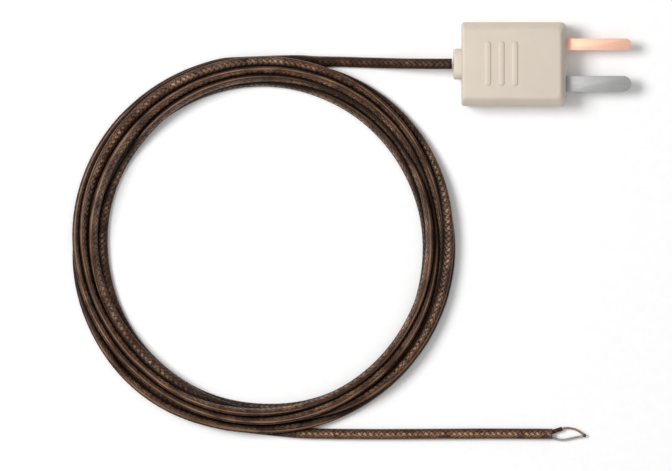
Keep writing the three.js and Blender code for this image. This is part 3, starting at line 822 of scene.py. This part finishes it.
def make_tip():
    """The short braided sleeve, the two bare wires and the weld bead."""
    core = oval_section(CORE_DIAMETER, CORE_DIAMETER)
    angles = np.linspace(0, 2 * math.pi, WIRE_SIDES, endpoint=False)
    wire = [(math.cos(a) * WIRE_DIAMETER / 2, math.sin(a) * WIRE_DIAMETER / 2) for a in angles]
    sleeve = make_tip_tube(
        "positive_sleeve", TIP_SLEEVE_ROUTE, SLEEVE_SPACING, core,
        SLEEVE_BRAID, "positive_tip_sleeve")
    positive = make_tip_tube(
        "positive_wire", POSITIVE_TIP_ROUTE, WIRE_SPACING, wire,
        COPPER_WIRE, "positive_tip_wire")
    negative = make_tip_tube(
        "negative_wire", NEGATIVE_TIP_ROUTE, WIRE_SPACING, wire,
        NICKEL_WIRE, "negative_tip_wire")
    return [sleeve, positive, negative, make_bead()]


def make_bead():
    """A weld bead: a lumpy drop that swallows the two wire ends, drawn out a little towards them."""
    bead = bmesh.new()
    bmesh.ops.create_icosphere(bead, subdivisions=BEAD_DETAIL, radius=BEAD_RADIUS)
    for vertex in bead.verts:
        x, y, z = vertex.co
        lump = 0.06 * math.sin(9 * x + 4 * y)
        lump += 0.05 * math.sin(11 * y - 7 * z)
        lump += 0.04 * math.sin(13 * z + 5 * x)
        vertex.co *= (1 + lump) * MM
        vertex.co.x += BEAD_NECK * min(x, 0) * MM
        vertex.co += Vector(BEAD_CENTRE) * MM
    mesh = bpy.data.meshes.new("weld_bead")
    bead.to_mesh(mesh)
    bead.free()
    mesh.polygons.foreach_set("use_smooth", [True] * len(mesh.polygons))
    mesh.materials.append(WELD)
    return add_object("weld_bead", mesh, ("measuring_junction",))


cable, cable_path, cable_length = make_cable()
tip_pieces = make_tip()


# ---------------------------------------------------------------- plug, from the CAD solids

NODE_MATERIALS = {
    "plug_base": PLUG_PLASTIC,
    "plug_cover": PLUG_PLASTIC,
    "cable_collar": COLLAR_PLASTIC,
    "crimp_ferrule": BRASS,
    "threaded_insert": BRASS,
    "cover_screw": STEEL,
    "positive_blade": COPPER,
    "negative_blade": NICKEL,
    "positive_terminal_screw": STEEL,
    "negative_terminal_screw": STEEL,
    "positive_clamp_washer": STEEL,
    "negative_clamp_washer": STEEL,
    "positive_wire_in_plug": COPPER,
    "negative_wire_in_plug": NICKEL,
    "positive_core_in_plug": SLEEVE_BRAID,
    "negative_core_in_plug": WHITE_BRAID,
    "cable_end_in_plug": SLEEVE_BRAID,
}
# Width of the rounding on the edges of these nodes.
SOFT_EDGES = {
    "positive_blade": 0.12,
    "negative_blade": 0.12,
    "cover_screw": 0.08,
}
BEVEL_STEPS = 3
BEVEL_ANGLE = math.radians(40)
SMOOTH_ANGLE = math.radians(32)
WELD_DISTANCE = 0.002 * MM


def smoothing_nodes():
    """Geometry nodes that join a mesh's doubled corners and shade every edge below SMOOTH_ANGLE smooth."""
    group = bpy.data.node_groups.new("smooth by angle", "GeometryNodeTree")
    group.interface.new_socket("Geometry", in_out="INPUT", socket_type="NodeSocketGeometry")
    group.interface.new_socket("Geometry", in_out="OUTPUT", socket_type="NodeSocketGeometry")
    start = group.nodes.new("NodeGroupInput")
    end = group.nodes.new("NodeGroupOutput")
    joined = group.nodes.new("GeometryNodeMergeByDistance")
    joined.inputs["Distance"].default_value = WELD_DISTANCE
    faces = group.nodes.new("GeometryNodeSetShadeSmooth")
    edges = group.nodes.new("GeometryNodeSetShadeSmooth")
    edges.domain = "EDGE"
    angle = group.nodes.new("GeometryNodeInputMeshEdgeAngle")
    gentle = group.nodes.new("FunctionNodeCompare")
    gentle.data_type = "FLOAT"
    gentle.operation = "LESS_THAN"
    gentle.inputs["B"].default_value = SMOOTH_ANGLE
    link = group.links.new
    link(start.outputs[0], joined.inputs["Geometry"])
    link(joined.outputs[0], faces.inputs["Geometry"])
    link(faces.outputs[0], edges.inputs["Geometry"])
    link(angle.outputs["Unsigned Angle"], gentle.inputs["A"])
    link(gentle.outputs[0], edges.inputs["Shade Smooth"])
    link(edges.outputs[0], end.inputs[0])
    return group


SMOOTHING = smoothing_nodes()


def dress_node(name, material):
    """Gives a CAD node its material, rounded edges where SOFT_EDGES names it, and smooth shading. Its stored
    normals go, because they would override the shading."""
    node = nodes[name]
    node.data.materials.clear()
    node.data.materials.append(material)
    custom = node.data.attributes.get("custom_normal")
    if custom is not None:
        node.data.attributes.remove(custom)
    if name in SOFT_EDGES:
        weld = node.modifiers.new("weld", "WELD")
        weld.merge_threshold = WELD_DISTANCE
        bevel = node.modifiers.new("soft edges", "BEVEL")
        bevel.width = SOFT_EDGES[name] * MM
        bevel.segments = BEVEL_STEPS
        bevel.limit_method = "ANGLE"
        bevel.angle_limit = BEVEL_ANGLE
    smooth_shade = node.modifiers.new("smooth by angle", "NODES")
    smooth_shade.node_group = SMOOTHING


for node_name, node_material in NODE_MATERIALS.items():
    dress_node(node_name, node_material)


# ---------------------------------------------------------------- floor

# In metres: half the floor's side, and how far it lies below the object.
FLOOR_HALF = 0.9
FLOOR_DROP = 0.00002


def make_floor():
    """A square of white paper under the object, on the stage and not part of it."""
    mesh = bpy.data.meshes.new("floor")
    centre = Vector((VIEW_CENTRE[0], VIEW_CENTRE[1], 0)) * MM
    corners = []
    for x, y in ((-1, -1), (1, -1), (1, 1), (-1, 1)):
        corners.append(tuple(centre + Vector((x * FLOOR_HALF, y * FLOOR_HALF, -FLOOR_DROP))))
    mesh.from_pydata(corners, [], [(0, 1, 2, 3)])
    shader = Shader("floor")
    paper = shader.noise(shader.place(), scale=0.5)
    color = shader.blend(shader.spread(paper, 0.3, 0.7), (0.98, 0.98, 0.98), (0.96, 0.96, 0.96))
    shader.set("Roughness", 0.9)
    mesh.materials.append(shader.finish(color))
    floor = bpy.data.objects.new("floor", mesh)
    bpy.context.scene.collection.objects.link(floor)


make_floor()
